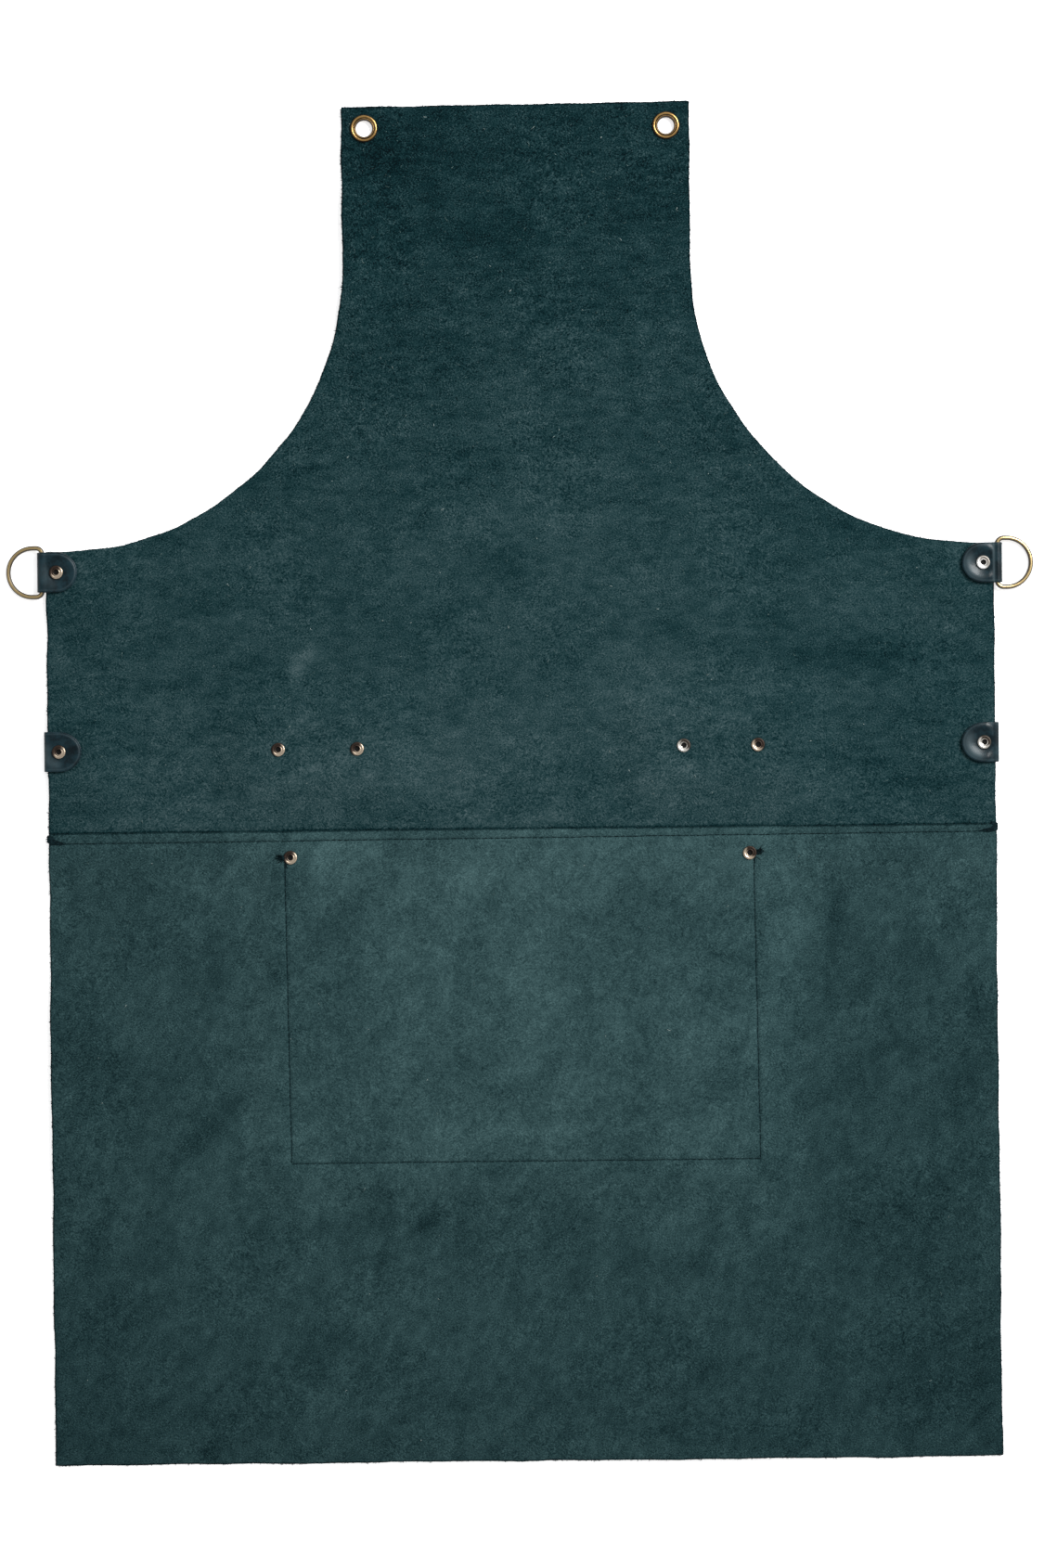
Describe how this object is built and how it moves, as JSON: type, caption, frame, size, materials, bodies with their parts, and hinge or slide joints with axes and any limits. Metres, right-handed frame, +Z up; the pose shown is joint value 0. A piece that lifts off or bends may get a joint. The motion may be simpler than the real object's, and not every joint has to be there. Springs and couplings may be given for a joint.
{
  "type": "leather grill apron",
  "caption": "Long leather work apron with a bib, quarter-round armholes, a sewn-on skirt, a front pocket, riveted side tabs with D-rings and neck eyelets.",
  "frame": {"origin": "on the floor, under the middle of the lying apron", "axes": "+X to the right as the rough side is looked at, +Y towards the neck, +Z up out of the rough side"},
  "size_m": [0.6512, 0.86, 0.0078],
  "materials": {
    "suede": "dark teal rough split leather with a short nap",
    "strip_leather": "smooth dark blue-grey leather with a soft sheen",
    "antique_brass": "antique brass, polished on the high places",
    "rivet_metal": "pinkish antique plating, satin"
  },
  "bodies": {
    "apron": {"bib_panel": "suede", "skirt_panel": "suede", "front_pocket": "suede", "ring_tab_left": "strip_leather", "ring_tab_right": "strip_leather", "edge_tab_left": "strip_leather", "edge_tab_right": "strip_leather", "tool_loop_left": "strip_leather", "tool_loop_right": "strip_leather", "grommet_left": "antique_brass", "grommet_right": "antique_brass", "rivet_ring_tab_left": "rivet_metal", "rivet_ring_tab_right": "rivet_metal", "rivet_edge_tab_left": "rivet_metal", "rivet_edge_tab_right": "rivet_metal", "rivet_loop_inner_left": "rivet_metal", "rivet_loop_inner_right": "rivet_metal", "rivet_loop_outer_left": "rivet_metal", "rivet_loop_outer_right": "rivet_metal", "rivet_pocket_left": "rivet_metal", "rivet_pocket_right": "rivet_metal"},
    "ring_left": {"d_ring_left": "antique_brass"},
    "ring_right": {"d_ring_right": "antique_brass"}
  },
  "joints": [
    {"name": "ring_swing_left", "type": "hinge", "parent": "apron", "child": "ring_left", "pos_m": [-0.3025, 0.1363, 0.0038], "axis": [0, 1, 0], "range_deg": [-116, 128]},
    {"name": "ring_swing_right", "type": "hinge", "parent": "apron", "child": "ring_right", "pos_m": [0.3025, 0.1363, 0.0038], "axis": [0, -1, 0], "range_deg": [-116, 128]}
  ]
}
